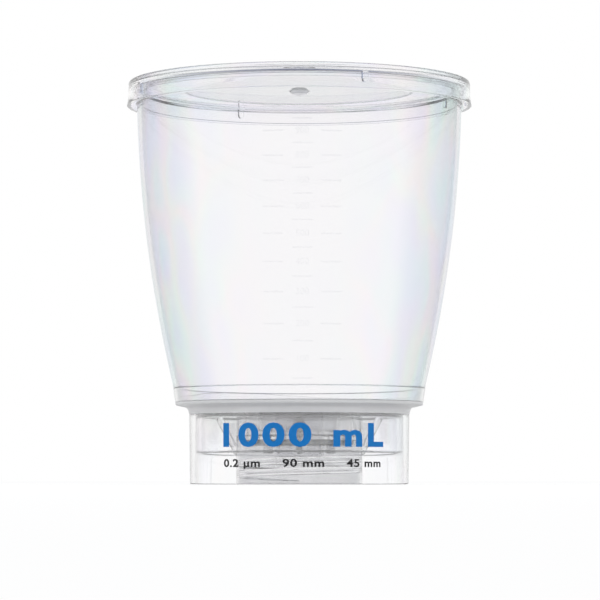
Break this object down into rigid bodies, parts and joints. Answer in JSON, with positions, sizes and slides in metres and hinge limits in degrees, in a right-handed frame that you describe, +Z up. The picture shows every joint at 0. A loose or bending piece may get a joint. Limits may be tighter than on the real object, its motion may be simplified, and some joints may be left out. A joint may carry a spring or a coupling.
{
  "type": "bottle-top vacuum filter",
  "caption": "Clear round reservoir with a loose lid over a filter membrane, on a skirted base with a threaded neck and a hose barb.",
  "frame": {"origin": "centre of the ring that the base stands on", "axes": "+Z up along the round parts' common axis, -Y the front, +Y the side with the vacuum port"},
  "size_m": [0.1316, 0.1316, 0.1534],
  "materials": {
    "clear_styrene": "clear, polished mould finish",
    "membrane": "matte white, fine porous film",
    "gasket_foam": "matte, pale grey",
    "porous_plug": "matte white, porous",
    "natural_plastic": "milky, satin"
  },
  "bodies": {
    "filter_unit": {"filter_base": "clear_styrene", "neck_adapter": "clear_styrene", "filter_membrane": "membrane", "reservoir": "clear_styrene", "neck_gasket": "gasket_foam", "port_plug": "porous_plug", "hose_adapter": "natural_plastic"},
    "lid": {"lid": "clear_styrene"}
  },
  "joints": [
    {"name": "lid_lift", "type": "slide", "parent": "filter_unit", "child": "lid", "axis": [0, 0, 1], "range_m": [0, 0.06]}
  ]
}
